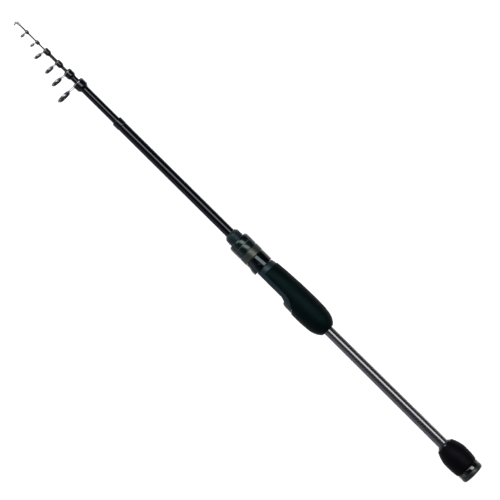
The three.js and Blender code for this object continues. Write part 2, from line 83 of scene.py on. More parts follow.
class Place:
    """Where a CAD node that is turned about the rod's axis lies."""

    def __init__(self, node):
        low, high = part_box(node)
        self.front, self.rear = low[0], high[0]
        self.radius = (high[1] - low[1]) / 2
        self.middle = (Vector(low) + Vector(high)) / 2


def around(count):
    """Angles that divide a full turn evenly."""
    return [2 * math.pi * k / count for k in range(count)]


def cad_rings(node, keep=lambda point: True):
    """The CAD node's vertices as (x, distance from the rod's axis), for those that keep() takes."""
    points = [v.co for v in frame["nodes"][node].data.vertices]
    return [(p.x, math.hypot(p.y, p.z)) for p in points if keep(p)]


def radius_near(node, x, reach=2 * MM):
    """The CAD node's largest radius within reach of x."""
    return max(r for at, r in cad_rings(node) if abs(at - x) < reach)


def least_radius(node, keep=lambda point: True):
    """The smallest radius among the CAD node's vertices that keep() takes."""
    return min(r for x, r in cad_rings(node, keep))


# ---- mesh building

def eased(points, amount, steps=3):
    """The [x, radius] outline with each corner rounded by up to amount."""
    result = []
    last = len(points) - 1
    for i, point in enumerate(points):
        here = Vector(point)
        if i in (0, last):
            result.append(here)
            continue
        before = Vector(points[i - 1]) - here
        after = Vector(points[i + 1]) - here
        reach = min(amount, before.length * 0.45, after.length * 0.45)
        if reach <= 1e-7 or before.angle(after) > math.radians(172):
            result.append(here)
            continue
        start = here + before.normalized() * reach
        end = here + after.normalized() * reach
        for k in range(steps + 1):
            t = k / steps
            result.append(start.lerp(here, t).lerp(here.lerp(end, t), t))
    return [tuple(p) for p in result]


def swelling(points, steps):
    """A smooth curve through the points, with steps between each two of them."""
    result = []
    for i in range(len(points) - 1):
        p0 = Vector(points[max(i - 1, 0)])
        p1 = Vector(points[i])
        p2 = Vector(points[i + 1])
        p3 = Vector(points[min(i + 2, len(points) - 1)])
        for k in range(steps):
            t = k / steps
            a = (p2 - p0) * 0.5
            b = (p3 - p1) * 0.5
            h = t * t * (3 - 2 * t)
            tangent = a * (t * (1 - t) ** 2) + b * (t * t * (t - 1))
            result.append(tuple(p1.lerp(p2, h) + tangent))
    result.append(tuple(points[-1]))
    return result


def circle(bm, x, radius, segments):
    """The vertices of a circle about the rod's axis."""
    return [bm.verts.new((x, radius * math.cos(a), radius * math.sin(a))) for a in around(segments)]


def lathe(bm, points, segments=ROUND, move=None):
    """Turns [x, radius] points about X.

    Points with radius 0 close the ends. Other outlines close on themselves."""
    rings = []
    for x, radius in points:
        if radius < 1e-7:
            rings.append([bm.verts.new((x, 0, 0))])
            continue
        rings.append(circle(bm, x, radius, segments))
    pairs = list(zip(rings, rings[1:]))
    if len(rings[0]) > 1:
        pairs.append((rings[-1], rings[0]))
    for a, b in pairs:
        for k in range(segments):
            corners = [a[k % len(a)], b[k % len(b)], b[(k + 1) % len(b)], a[(k + 1) % len(a)]]
            unique = list(dict.fromkeys(corners))
            if len(unique) > 2:
                bm.faces.new(unique)
    if move is not None:
        verts = [v for ring in rings for v in ring]
        bmesh.ops.transform(bm, matrix=move, verts=verts)


def sweep(bm, path, widths, sides=16):
    """A closed bar along path, with an oval section of the given (across, along X) half widths."""
    rings = []
    for i, point in enumerate(path):
        ahead = Vector(path[min(i + 1, len(path) - 1)]) - Vector(path[max(i - 1, 0)])
        along = ahead.normalized()
        side = along.cross(Vector((1, 0, 0))).normalized()
        deep = side.cross(along).normalized()
        across, thick = widths[i]
        rings.append([
            bm.verts.new(Vector(point) + side * across * math.cos(a) + deep * thick * math.sin(a))
            for a in around(sides)
        ])
    for a, b in zip(rings, rings[1:]):
        for k in range(sides):
            bm.faces.new((a[k], b[k], b[(k + 1) % sides], a[(k + 1) % sides]))
    bm.faces.new(rings[0])
    bm.faces.new(reversed(rings[-1]))


def finish_mesh(obj):
    bm = bmesh.new()
    bm.from_mesh(obj.data)
    bmesh.ops.recalc_face_normals(bm, faces=bm.faces)
    bm.to_mesh(obj.data)
    bm.free()
    for polygon in obj.data.polygons:
        polygon.use_smooth = True
    obj.data.set_sharp_from_angle(angle=SHARP_ANGLE)


def new_object(name, build):
    mesh = bpy.data.meshes.new(name)
    bm = bmesh.new()
    build(bm)
    bm.to_mesh(mesh)
    bm.free()
    obj = bpy.data.objects.new(name, mesh)
    bpy.context.scene.collection.objects.link(obj)
    finish_mesh(obj)
    return obj


def paint(obj, material):
    obj.data.materials.clear()
    obj.data.materials.append(material)


def piece(obj, body, nodes, material):
    """Dresses a piece, lets it ride on its body and lets it stand for CAD nodes."""
    paint(obj, material)
    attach(obj, body)
    if nodes:
        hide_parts(*nodes)


def measured(x, *steps):
    """[x, radius] points from (distance behind x, radius) pairs in millimetres."""
    return [(x + along * MM, radius * MM) for along, radius in steps]


def turned_object(name, points, segments=ROUND, move=None):
    return new_object(name, lambda bm: lathe(bm, points, segments, move))


def turned_piece(body, node, material, name, points, segments=ROUND, move=None):
    """A turned object that stands for one CAD node."""
    piece(turned_object(name, points, segments, move), body, [node], material)


def band_outline(front, rear, inner, outer):
    """The [x, radius] outline of a plain band."""
    return [(front, inner), (front, outer), (rear, outer), (rear, inner)]


def rod_shape(name, front, rear, radius):
    """A plain round bar on the rod's axis."""
    return turned_object(name, [(front, 0), (front, radius), (rear, radius), (rear, 0)])


def oval_band(middle, thick, half, steps):
    """The oval [x, radius] outline of a rounded hard ring."""
    return [(-half * math.cos(a), middle - thick * math.sin(a)) for a in around(steps)]


def outline_block(name, outline, half_width):
    """A closed [x, y] outline pushed through the rod in Z."""
    def build(bm):
        low = [bm.verts.new((x, y, -half_width)) for x, y in outline]
        high = [bm.verts.new((x, y, half_width)) for x, y in outline]
        bm.faces.new(low)
        bm.faces.new(reversed(high))
        for i in range(len(outline)):
            j = (i + 1) % len(outline)
            bm.faces.new((low[i], low[j], high[j], high[i]))
    return new_object(name, build)


def block(name, low, high):
    outline = [(low[0], low[1]), (high[0], low[1]), (high[0], high[1]), (low[0], high[1])]
    obj = outline_block(name, outline, (high[2] - low[2]) / 2)
    obj.data.transform(Matrix.Translation((0, 0, (high[2] + low[2]) / 2)))
    return obj


def settled(obj):
    """The object's mesh with its modifiers applied."""
    shown = obj.evaluated_get(bpy.context.evaluated_depsgraph_get())
    return bpy.data.meshes.new_from_object(shown)


def combine(obj, *steps):
    """Joins other objects to obj, cuts them from it or keeps what they share.

    Each step is (the boolean's name, the other object)."""
    for operation, other in steps:
        modifier = obj.modifiers.new("shape", "BOOLEAN")
        modifier.operation = operation
        modifier.solver = "EXACT"
        modifier.object = other
        result = settled(obj)
        obj.modifiers.clear()
        obj.data = result
        bpy.data.objects.remove(other)
    return obj


def soften_edges(obj, width, angle=32):
    """Rounds the edges that are sharper than angle."""
    bm = bmesh.new()
    bm.from_mesh(obj.data)
    bmesh.ops.remove_doubles(bm, verts=bm.verts, dist=0.02 * MM)
    bmesh.ops.dissolve_limit(bm, angle_limit=math.radians(0.8), verts=bm.verts, edges=bm.edges)
    bm.to_mesh(obj.data)
    bm.free()
    bevel = obj.modifiers.new("edges", "BEVEL")
    bevel.width = width
    bevel.segments = 2
    bevel.limit_method = "ANGLE"
    bevel.angle_limit = math.radians(angle)
    bevel.use_clamp_overlap = True
    obj.data = settled(obj)
    obj.modifiers.clear()
    finish_mesh(obj)


# ---- materials

class Nodes:
    """Short ways to make the nodes of one material."""

    def __init__(self, name):
        self.material = bpy.data.materials.new(name)
        self.material.use_nodes = True
        self.tree = self.material.node_tree
        self.shader = self.tree.nodes["Principled BSDF"]
        self.place = self.tree.nodes.new("ShaderNodeTexCoord").outputs["Object"]

    def link(self, source, target):
        self.tree.links.new(source, target)

    def set(self, **values):
        for key, value in values.items():
            self.shader.inputs[key.replace("_", " ")].default_value = value

    def math(self, operation, *values):
        node = self.tree.nodes.new("ShaderNodeMath")
        node.operation = operation
        for socket, value in zip(node.inputs, values):
            if hasattr(value, "is_linked"):
                self.link(value, socket)
            else:
                socket.default_value = value
        return node.outputs[0]

    def stretched(self, x, y, z):
        node = self.tree.nodes.new("ShaderNodeVectorMath")
        node.operation = "MULTIPLY"
        self.link(self.place, node.inputs[0])
        node.inputs[1].default_value = (x, y, z)
        return node.outputs[0]

    def noise(self, scale, detail, place=None, roughness=0.5):
        node = self.tree.nodes.new("ShaderNodeTexNoise")
        self.link(place or self.place, node.inputs["Vector"])
        node.inputs["Scale"].default_value = scale
        node.inputs["Detail"].default_value = detail
        node.inputs["Roughness"].default_value = roughness
        return node.outputs["Fac"]

    def cells(self, scale):
        node = self.tree.nodes.new("ShaderNodeTexVoronoi")
        self.link(self.place, node.inputs["Vector"])
        node.inputs["Scale"].default_value = scale
        return node.outputs["Distance"]

    def range(self, value, low, high, out_low, out_high):
        node = self.tree.nodes.new("ShaderNodeMapRange")
        self.link(value, node.inputs["Value"])
        for key, number in zip(RANGE_KEYS, (low, high, out_low, out_high)):
            node.inputs[key].default_value = number
        return node.outputs["Result"]

    def mixed(self, factor, first, second):
        node = self.tree.nodes.new("ShaderNodeMix")
        node.data_type = "RGBA"
        self.link(factor, node.inputs[0])
        for socket, colour in ((node.inputs[6], first), (node.inputs[7], second)):
            if hasattr(colour, "is_linked"):
                self.link(colour, socket)
            else:
                socket.default_value = (*colour, 1)
        return node.outputs[2]

    def blend(self, value, low, high, first, second):
        """The first colour where value is low, and the second where it is high."""
        return self.mixed(self.range(value, low, high, 0, 1), first, second)

    def bump(self, height, distance, strength, under=None):
        node = self.tree.nodes.new("ShaderNodeBump")
        self.link(height, node.inputs["Height"])
        node.inputs["Distance"].default_value = distance
        node.inputs["Strength"].default_value = strength
        if under is not None:
            self.link(under, node.inputs["Normal"])
        return node.outputs["Normal"]

    def axis_parts(self):
        """x along the rod, and the angle round it in turns."""
        node = self.tree.nodes.new("ShaderNodeSeparateXYZ")
        self.link(self.place, node.inputs[0])
        angle = self.math("ARCTAN2", node.outputs[2], node.outputs[1])
        return node.outputs[0], self.math("DIVIDE", angle, 2 * math.pi)

    def from_middle(self, phase):
        """How far a repeating phase is from the middle of its step: 0 there and 0.5 at its ends."""
        return self.math("ABSOLUTE", self.math("SUBTRACT", self.math("FRACT", phase), 0.5))

    def worn(self, amount):
        """High on edges, broken up by noise."""
        geometry = self.tree.nodes.new("ShaderNodeNewGeometry")
        edge = self.range(geometry.outputs["Pointiness"], 0.52, 0.6, 0, 1)
        return self.math("MULTIPLY", edge, self.range(self.noise(900, 4), 0.45, 0.65, 0, amount))

    def done(self, colour, roughness, normal=None):
        self.link(colour, self.shader.inputs["Base Color"])
        self.link(roughness, self.shader.inputs["Roughness"])
        if normal is not None:
            self.link(normal, self.shader.inputs["Normal"])
        return self.material


def lacquer_material():
    """Deep black lacquer on a carbon tube, with the faint spiral marks of its curing tape."""
    m = Nodes("black_lacquer")
    x, turn = m.axis_parts()
    tape_pitch = 2.4 * MM
    along = m.math("MULTIPLY", x, 2 * math.pi / tape_pitch)
    spiral = m.math("SINE", m.math("ADD", along, m.math("MULTIPLY", turn, 2 * math.pi)))
    colour = m.blend(m.noise(160, 4), 0.35, 0.7, (0.0006, 0.0007, 0.0016), (0.0014, 0.0016, 0.0032))
    rough = m.range(m.noise(700, 3), 0.3, 0.7, 0.05, 0.09)
    orange_peel = m.bump(m.noise(2600, 2), 0.002 * MM, 0.3)
    normal = m.bump(m.range(spiral, -1, 1, 0, 1), 0.003 * MM, 0.4, orange_peel)
    m.set(IOR=1.28)
    return m.done(colour, rough, normal)


def wrap_material():
    """Whipping thread under varnish."""
    m = Nodes("navy_wrap")
    x, turn = m.axis_parts()
    thread_width = 0.32 * MM
    phase = m.math("ADD", m.math("MULTIPLY", x, 1 / thread_width), turn)
    thread = m.from_middle(phase)
    colour = m.blend(thread, 0, 0.5, (0.0005, 0.0006, 0.0014), (0.0013, 0.0016, 0.0032))
    normal = m.bump(m.range(thread, 0, 0.5, 1, 0), 0.006 * MM, 0.3)
    rough = m.range(m.noise(900, 3), 0.3, 0.7, 0.12, 0.2)
    m.set(IOR=1.32)
    return m.done(colour, rough, normal)


def weave_material():
    """Fine twill carbon cloth under a clear coat."""
    m = Nodes("woven_carbon")
    x, turn = m.axis_parts()
    tows_round, tow_width = 36, 0.92 * MM
    u = m.math("MULTIPLY", turn, tows_round)
    v = m.math("MULTIPLY", x, 1 / tow_width)
    fold = m.math("MODULO", m.math("ADD", m.math("FLOOR", u), m.math("FLOOR", v)), 4)
    fold = m.math("MODULO", m.math("ADD", fold, 4), 4)
    over = m.math("LESS_THAN", fold, 1.5)
    across, along = m.from_middle(u), m.from_middle(v)
    under = m.math("SUBTRACT", 1, over)
    dome = m.math("ADD", m.math("MULTIPLY", over, across), m.math("MULTIPLY", under, along))
    fibres = m.noise(1, 2, m.stretched(1500, 9000, 9000))
    shade = m.math("ADD", m.math("MULTIPLY", over, 0.6), m.math("MULTIPLY", fibres, 0.4))
    colour = m.blend(shade, 0.1, 0.95, (0.0048, 0.0042, 0.0054), (0.02, 0.0176, 0.0216))
    rough = m.range(shade, 0.1, 0.95, 0.3, 0.45)
    normal = m.bump(m.range(dome, 0, 0.5, 1, 0), 0.006 * MM, 0.25)
    m.set(Metallic=0.1, IOR=1.25, Coat_Weight=1.0, Coat_Roughness=0.06, Coat_IOR=1.65)
    return m.done(colour, rough, normal)


def foam_material(name, deep, pale, tint):
    """Closed-cell foam: fine pores, a soft nap and hand-rubbed patches."""
    m = Nodes(name)
    pores = m.cells(2600)
    patches = m.noise(70, 4)
    colour = m.blend(patches, 0.35, 0.7, deep, pale)
    speck = m.range(pores, 0, 0.5, 0.5, 1)
    dotted = m.mixed(speck, (0.0002, 0.0003, 0.0003), colour)
    rough = m.range(patches, 0.35, 0.7, 0.5, 0.62)
    normal = m.bump(pores, 0.09 * MM, 0.55, m.bump(m.noise(900, 4), 0.08 * MM, 0.4))
    m.set(IOR=1.145, Specular_Tint=(*tint, 1))
    return m.done(dotted, rough, normal)


def seat_material():
    """Moulded graphite nylon with a fine spark-eroded grain and rubbed edges."""
    m = Nodes("seat_plastic")
    grain = m.noise(5200, 2)
    base = m.blend(m.noise(120, 4), 0.35, 0.7, (0.0022, 0.0048, 0.0068), (0.0045, 0.0085, 0.0115))
    colour = m.mixed(m.worn(0.3), base, (0.04, 0.05, 0.056))
    rough = m.range(grain, 0.3, 0.7, 0.36, 0.5)
    m.set(IOR=1.33, Specular_Tint=(0.6, 0.95, 1, 1))
    return m.done(colour, rough, m.bump(grain, 0.012 * MM, 0.3))


def turned_metal(name, grain, base, rubbed, rough, relief, **settings):
    """A satin shell with fine marks round the rod and rubbed edges.

    grain is the marks' (detail, density along the rod, density round it), base their two colours,
    rubbed the edges' (amount, colour), and relief the marks' (depth in mm, strength)."""
    m = Nodes(name)
    detail, along, across = grain
    marks = m.noise(1, detail, m.stretched(along, across, across))
    colour = m.mixed(m.worn(rubbed[0]), m.blend(marks, 0.3, 0.7, *base), rubbed[1])
    m.set(**settings)
    normal = m.bump(marks, relief[0] * MM, relief[1])
    return m.done(colour, m.range(marks, 0.3, 0.7, *rough), normal)


def gloss_plastic_material(name, ior, tint):
    """Polished black moulding with light handling scratches."""
    m = Nodes(name)
    scratches = m.noise(1, 5, m.stretched(300, 4200, 600), 0.7)
    rough = m.range(scratches, 0.4, 0.75, 0.06, 0.18)
    colour = m.blend(m.noise(300, 3), 0.3, 0.7, (0.0004, 0.0005, 0.0008), (0.001, 0.0012, 0.0018))
    m.set(IOR=ior, Specular_Tint=(*tint, 1))
    return m.done(colour, rough, m.bump(m.noise(1800, 2), 0.002 * MM, 0.3))


def steel_material():
    """Polished stainless steel with fine scratches."""
    m = Nodes("steel")
    marks = m.noise(1, 5, m.stretched(2600, 700, 700), 0.6)
    colour = m.blend(marks, 0.3, 0.7, (0.12, 0.125, 0.13), (0.21, 0.215, 0.225))
    rough = m.range(marks, 0.35, 0.7, 0.2, 0.34)
    m.set(Metallic=1.0)
    return m.done(colour, rough, m.bump(marks, 0.004 * MM, 0.5))


def grained_material(name, grain, base, rough, relief, **settings):
    """An even fine-grained surface. relief is (depth in mm, strength)."""
    m = Nodes(name)
    cloud = m.noise(*grain)
    m.set(**settings)
    normal = m.bump(cloud, relief[0] * MM, relief[1])
    return m.done(m.blend(cloud, 0.3, 0.7, *base), m.range(cloud, 0.3, 0.7, *rough), normal)


def resin_material():
    """Foamed amber resin."""
    m = Nodes("resin")
    bubbles = m.cells(1400)
    colour = m.blend(bubbles, 0, 0.5, (0.1, 0.07, 0.04), (0.24, 0.18, 0.11))
    return m.done(colour, m.range(bubbles, 0, 0.5, 0.5, 0.75), m.bump(bubbles, 0.05 * MM, 0.5))


LACQUER = lacquer_material()
WRAP = wrap_material()
WEAVE = weave_material()
FRONT_FOAM = foam_material(
    "front_foam", (0.0001, 0.0005, 0.0006), (0.0003, 0.0011, 0.0012), (0.4, 0.95, 1))
REAR_FOAM = foam_material(
    "rear_foam", (0.0002, 0.0002, 0.0003), (0.0005, 0.0005, 0.0007), (0.65, 0.65, 0.85))
SEAT = seat_material()
NUT = turned_metal(
    "nut_shell", (3, 5200, 45), ((0.0005, 0.0014, 0.0015), (0.0018, 0.0034, 0.0036)),
    (0.3, (0.07, 0.085, 0.08)), (0.16, 0.24), (0.005, 0.4),
    IOR=1.38, Specular_Tint=(0.72, 1, 0.94, 1))
GUNMETAL = turned_metal(
    "gunmetal", (4, 7000, 60), ((0.022, 0.026, 0.022), (0.045, 0.051, 0.042)),
    (0.5, (0.25, 0.26, 0.25)), (0.34, 0.48), (0.008, 0.6), Metallic=0.8, IOR=1.4)
CAP_METAL = turned_metal(
    "cap_metal", (4, 6000, 80), ((0.011, 0.012, 0.0125), (0.022, 0.0235, 0.024)),
    (0.4, (0.12, 0.125, 0.125)), (0.3, 0.44), (0.006, 0.5), Metallic=0.6, IOR=1.4)
HOOD_GLOSS = gloss_plastic_material("hood_gloss", 1.36, (0.75, 0.97, 1))
RING_GLOSS = gloss_plastic_material("ring_gloss", 1.5, (1, 1, 1))
STEEL = steel_material()
CERAMIC = grained_material(
    "ceramic", (900, 3), ((0.006, 0.004, 0.0045), (0.016, 0.011, 0.012)),
    (0.12, 0.2), (0.002, 0.4), IOR=1.42)
RUBBER = grained_material(
    "soft_rubber", (3000, 4), ((0.008, 0.008, 0.009), (0.02, 0.02, 0.022)),
    (0.7, 0.9), (0.03, 0.5), Specular_IOR_Level=0.3)
RESIN = resin_material()


# ---- blank and sections

def bore_line(node):
    """The inside of a CAD tube, from its rear to its narrow mouth."""
    place = Place(node)
    bore = least_radius(node, lambda p: p.x > place.rear - MM)
    mouth = least_radius(node, lambda p: p.x < place.front + MM)
    mouth_rear = place.front + MOUTH_LENGTH
    return [
        (place.rear, bore),
        (mouth_rear + MOUTH_RAMP, bore),
        (mouth_rear, mouth),
        (place.front, mouth),
    ]


def make_blank():
    """The tube through the whole handle and the whipping round its mouth."""
    blank, seat, woven = Place("butt_blank"), Place("seat_body"), Place("woven_sleeve")
    front_radius = radius_near("butt_blank", blank.front)
    seat_radius = radius_near("butt_blank", woven.front, 0.3 * MM)
    points = [
        (blank.front, front_radius),
        (seat.front + MM, front_radius),
        (seat.front + MM, seat_radius),
        (woven.front, seat_radius),
        (woven.rear, blank.radius),
        (blank.rear, blank.radius),
        *bore_line("butt_blank"),
    ]
    turned_piece("handle", "butt_blank", LACQUER,
                 "blank_tube", eased(points, 0.25 * MM))

    wrap = Place("butt_ferrule_wrap")
    inner = front_radius + CLEARANCE
    points = [
        (wrap.front, inner),
        (wrap.front, wrap.radius - 0.15 * MM),
        (wrap.front + 0.5 * MM, wrap.radius),
        (wrap.rear - 1.5 * MM, wrap.radius),
        (wrap.rear - 0.5 * MM, inner + 0.25 * MM),
        (wrap.rear, inner + 0.03 * MM),
        (wrap.rear, inner),
    ]
    turned_piece("handle", "butt_ferrule_wrap", WRAP,
                 "ferrule_whipping", eased(points, 0.6 * MM, 5))


def make_section(number, body):
    """A telescopic section with its thicker tail. The last one is solid."""
    node = f"section_{number}"
    place = Place(node)
    front_radius = radius_near(node, place.front, MM)
    hollow = least_radius(node) > CLEARANCE
    tail_front = place.rear - TAIL_LENGTH
    outside = [
        (place.front, front_radius),
        (tail_front, front_radius),
        (tail_front + TAIL_RAMP, place.radius),
        (place.rear, place.radius),
    ]
    if hollow:
        points = [*outside, *bore_line(node)]
    else:
        points = [(place.front, 0), *outside, (place.rear, 0)]
    turned_piece(body, node, LACQUER,
                 f"{node}_tube", eased(points, 0.15 * MM), FINE)


# ---- reel seat

def thread_barrel():
    """The threaded barrel that the nut and the sliding hood ride on, with its key slot."""
    seat, hood = Place("seat_body"), Place("sliding_hood")
    near_front = cad_rings("seat_body", lambda p: p.x < seat.front + 12 * MM)
    crest = max(r for x, r in near_front)
    bore = min(r for x, r in near_front)
    root = crest - 0.75 * MM
    pitch, thread_length, plain_front = 2 * MM, 17 * MM, 0.4 * MM
    stations_a_turn = 14
    key_half, key_floor = 1.5 * MM, 7.4 * MM

    def radius(x, turn):
        """The thread's radius there. Its ridges have flat tops and fade out at both ends."""
        along = x - seat.front
        fade = min(1, max(0, along - plain_front) / MM, max(0, thread_length - along) / MM)
        phase = (along / pitch - turn) % 1
        tooth = min(1, max(0, 1.6 - abs(phase - 0.5) * 4.4))
        return root + (crest - root) * tooth * fade

    def build(bm):
        rings = []
        steps = int(thread_length / pitch * stations_a_turn)
        stations = [seat.front + thread_length * k / steps for k in range(steps + 1)]
        stations.append(hood.rear + 0.2 * MM)
        for x in stations:
            ring = []
            for k in range(ROUND):
                turn = k / ROUND
                r = radius(x, turn)
                y = r * math.cos(2 * math.pi * turn)
                z = r * math.sin(2 * math.pi * turn)
                if y > 0 and abs(z) < key_half:
                    y = key_floor
                ring.append(bm.verts.new((x, y, z)))
            rings.append(ring)
        for x in (stations[-1], stations[0]):
            rings.append(circle(bm, x, bore, ROUND))
        for a, b in [*zip(rings, rings[1:]), (rings[-1], rings[0])]:
            for k in range(ROUND):
                bm.faces.new((a[k], b[k], b[(k + 1) % ROUND], a[(k + 1) % ROUND]))

    barrel = new_object("seat_thread", build)
    piece(barrel, "handle", [], SEAT)


def seam_outline(gap):
    """The [x, y] line where the front grip ends and the seat's underside shows.

    It runs from front to rear, moved by gap both ways."""
    grip, seat = Place("front_grip"), Place("seat_body")
    rear = seat.rear - 2.8 * MM
    points = [
        *measured(grip.front, (0, -4.5), (12, -4.52), (24, -4.6), (31, -5.1)),
        *measured(rear, (-11, -6.85), (-7, -9.1), (-4, -11.45), (-1.2, -13.9)),
        (rear, -grip.radius - 0.6 * MM),
    ]
    return [(x + gap, y + gap) for x, y in swelling(points, 5)]


def make_seat_body():
    """The seat behind the thread: collar, foot land and the fixed hood at its rear."""
    seat, grip, land = Place("seat_body"), Place("front_grip"), MOUNTS["reel_foot_land"][1]
    barrel_rear = Place("sliding_hood").rear + 0.3 * MM
    bore = least_radius("seat_body")
    body_radius = radius_near("seat_body", seat.rear, MM)
    collar = grip.front - 0.4 * MM
    points = [
        *measured(barrel_rear, (0, 0), (0, 10.15), (0.5, 10.55)),
        *measured(collar, (-0.8, 11.45), (0, 11.5)),
        (collar + 0.2 * MM, body_radius),
        (seat.rear, body_radius),
        (seat.rear, 0),
    ]
    body = turned_object("seat_underside", eased(points, 0.3 * MM))
    land_end = max(x for x, r in cad_rings("seat_body", lambda p: abs(p.y - land) < CLEARANCE))
    flat = block("flat", (barrel_rear - MM, -20 * MM, -15 * MM), (land_end, land, 15 * MM))

    hood_radius, hood_half = 13.9 * MM, 14 * MM
    pocket_radius, pocket_depth = 12.7 * MM, 12.7 * MM
    from_land = ((-0.6, 0.6), (0, -0.05), (2, -0.8), (4.5, -2.6), (7, -4.1), (9, -4.6))
    slope = [(land_end + along * MM, land + up * MM) for along, up in from_land]
    slope.append((land_end + 11 * MM, -hood_radius - MM))
    seam = [(x, y) for x, y in seam_outline(-SEAM_GAP) if x > land_end]
    outline = [
        *swelling(slope, 4),
        (seam[-1][0], -hood_radius - MM),
        *seam[::-1],
        (land_end - 0.6 * MM, -4.6 * MM),
    ]
    bulge = outline_block("bulge", outline, hood_half)
    cone = swelling([
        (land_end - 8 * MM, body_radius - 0.3 * MM),
        (land_end, body_radius + 0.1 * MM),
        (land_end + 5 * MM, (body_radius + hood_radius) / 2 + 0.2 * MM),
        (land_end + 10 * MM, hood_radius),
        (seat.rear, hood_radius),
    ], 4)
    round_limit = turned_object("limit", [(cone[0][0], 0), *cone, (seat.rear, 0)])
    bulge = combine(bulge, ("INTERSECT", round_limit))
    pocket_end = land_end + pocket_depth
    roof = rod_shape("roof", land_end - 9 * MM, pocket_end, pocket_radius)
    pocket = block(
        "pocket",
        (land_end - 0.8 * MM, -20 * MM, -HOOD_OPENING_HALF),
        (pocket_end, land + 0.2 * MM, HOOD_OPENING_HALF),
    )
    pocket = combine(pocket, ("INTERSECT", roof))
    hollow = rod_shape("hollow", barrel_rear - MM, seat.rear + MM, bore)
    combine(body, ("DIFFERENCE", flat), ("UNION", bulge),
            ("DIFFERENCE", pocket), ("DIFFERENCE", hollow))
    soften_edges(body, 0.15 * MM)
    piece(body, "handle", ["seat_body"], SEAT)


def make_front_check():
    """The tapered nose ring in front of the thread."""
    check = Place("seat_front_check")
    inner = radius_near("butt_blank", Place("butt_blank").front) + CLEARANCE
    points = [
        (check.front, inner),
        *measured(check.front, (0, 5.5), (0.4, 6)),
        (check.rear - 0.7 * MM, check.radius - 0.2 * MM),
        (check.rear, check.radius),
        (check.rear, inner),
    ]
    turned_piece("handle", "seat_front_check", SEAT,
                 "seat_nose_ring", eased(points, 0.3 * MM))


def make_nut():
    """The lock nut with its plain ring and its brushed grip band."""
    nut, band, trim = Place("lock_nut"), Place("nut_grip_band"), Place("nut_trim_ring")
    bore = least_radius("lock_nut")
    groove, neck_depth = 0.35 * MM, 5.5 * MM
    rear_end = [r for x, r in cad_rings("lock_nut", lambda p: p.x > nut.rear - MM)]
    band_seat, neck_bore = max(rear_end), min(rear_end)
    points = [
        (nut.front, bore),
        (nut.front, nut.radius - 1.3 * MM),
        (nut.front + 0.4 * MM, nut.radius - 0.85 * MM),
        (nut.front + 2.4 * MM, nut.radius),
        (trim.front, nut.radius),
        (trim.front, nut.radius - groove),
        (trim.rear, nut.radius - groove),
        (trim.rear, nut.radius),
        (band.front - 1.6 * MM, nut.radius),
        (band.front - 1.6 * MM, nut.radius - groove),
        (band.front - 1.1 * MM, nut.radius - groove),
        (band.front - 1.1 * MM, nut.radius),
        (band.front - 0.5 * MM, nut.radius),
        (band.front - 0.5 * MM, band_seat),
        (nut.rear, band_seat),
        (nut.rear, neck_bore),
        (nut.rear - neck_depth, neck_bore),
        (nut.rear - neck_depth, bore),
    ]
    turned_piece("nut", "lock_nut", NUT,
                 "lock_nut_shell", eased(points, 0.16 * MM))

    inner = nut.radius - groove + CLEARANCE
    points = band_outline(trim.front + CLEARANCE, trim.rear - CLEARANCE, inner, trim.radius)
    turned_piece("nut", "nut_trim_ring", GUNMETAL,
                 "nut_plain_ring", eased(points, 0.2 * MM))

    inner = band_seat + CLEARANCE
    points = [
        (band.front, inner),
        (band.front, band.radius - 0.25 * MM),
        (band.front + 0.3 * MM, band.radius),
        (band.rear - 0.3 * MM, band.radius),
        (band.rear, band.radius - 0.3 * MM),
        (band.rear, inner),
    ]
    turned_piece("nut", "nut_grip_band", GUNMETAL,
                 "nut_brushed_band", eased(points, 0.15 * MM))


def make_sliding_hood():
    """The hood on the nut's neck, with a deeper chin and the mouth for the reel's foot."""
    low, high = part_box("sliding_hood")
    neck_front, rear, radius = low[0], high[0], high[1]
    front = Place("lock_nut").rear + 0.3 * MM
    drop = -low[1] - radius
    neck = [r for x, r in cad_rings("sliding_hood", lambda p: p.x < front - MM)]
    bore, neck_radius = min(neck), max(neck)
    wall = 0.95 * MM
    shell = turned_object("hood_shell", eased([
        (neck_front, 0),
        (neck_front, neck_radius),
        (front, neck_radius),
        (front, radius - 0.3 * MM),
        (front + 0.3 * MM, radius),
        (rear - 0.3 * MM, radius),
        (rear, radius - 0.3 * MM),
        (rear, 0),
    ], 0.1 * MM))
    down = Matrix.Translation((0, -drop, 0))
    chin = turned_object("chin", [
        *measured(front, (2.6, 0), (2.6, 9.35), (5.2, 10.3)),
        (front + 7.8 * MM, radius - 0.12 * MM),
        (front + 8.8 * MM, radius),
        (rear - CLEARANCE, radius),
        (rear - CLEARANCE, 0),
    ], ROUND, down)
    hole = rod_shape("hole", neck_front - MM, rear + 2 * MM, bore)
    roof = turned_object("roof", [
        *measured(front, (4.2, 0), (4.2, 9.1)),
        (front + 8 * MM, radius - wall),
        (rear + MM, radius - wall),
        (rear + MM, 0),
    ], ROUND, down)
    mouth = block(
        "mouth",
        (front, -20 * MM, -HOOD_OPENING_HALF),
        (rear + MM, -6 * MM, HOOD_OPENING_HALF),
    )
    mouth = combine(mouth, ("INTERSECT", roof))
    combine(shell, ("UNION", chin), ("DIFFERENCE", hole), ("DIFFERENCE", mouth))
    soften_edges(shell, 0.25 * MM)
    piece(shell, "hood", ["sliding_hood"], HOOD_GLOSS)


